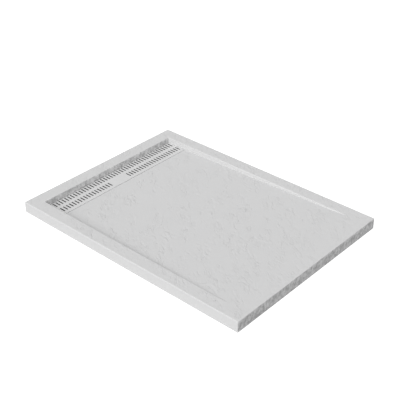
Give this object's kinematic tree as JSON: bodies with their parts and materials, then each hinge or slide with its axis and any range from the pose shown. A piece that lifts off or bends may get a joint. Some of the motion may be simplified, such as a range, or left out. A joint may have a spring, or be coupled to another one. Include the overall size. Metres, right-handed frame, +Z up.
{
  "type": "shower tray",
  "caption": "Low rectangular shower tray with a slate-textured floor that falls to a slotted lift-off drain cover across one short end.",
  "frame": {"origin": "centre of the flat underside that the tray is bedded on", "axes": "+Z up, out of the standing area; +X along the long side, from the drain cover at -X to the entry end where the floor runs out flush with the top; +Y along the short side"},
  "size_m": [1.2, 0.9, 0.05],
  "materials": {
    "stone_resin": "matt slate-textured gel coat",
    "coated_steel": "satin powder coat in the tray's colour",
    "pad_rubber": "matt moulded rubber",
    "gasket_rubber": "matt moulded rubber",
    "waste_steel": "turned and brushed stainless steel",
    "knob_steel": "bright stainless steel"
  },
  "bodies": {
    "tray": {"tray_body": "stone_resin", "waste_flange": "waste_steel", "flange_gasket": "gasket_rubber", "lower_gasket": "gasket_rubber", "ring_nut": "waste_steel"},
    "grate": {"grate_cover": "coated_steel", "grate_spine": "coated_steel", "grate_edge_pads": "pad_rubber", "grate_spine_pads": "pad_rubber"},
    "strainer": {"strainer_plate": "waste_steel", "strainer_knob": "knob_steel"}
  },
  "joints": [
    {"name": "grate_lift", "type": "slide", "parent": "tray", "child": "grate", "axis": [0, 0, 1], "range_m": [0, 0.06]},
    {"name": "strainer_lift", "type": "slide", "parent": "tray", "child": "strainer", "axis": [0, 0, 1], "range_m": [0, 0.03]}
  ],
  "couplings": [
    {"joint": "strainer_lift", "follows": "grate_lift", "ratio": 0.5}
  ]
}
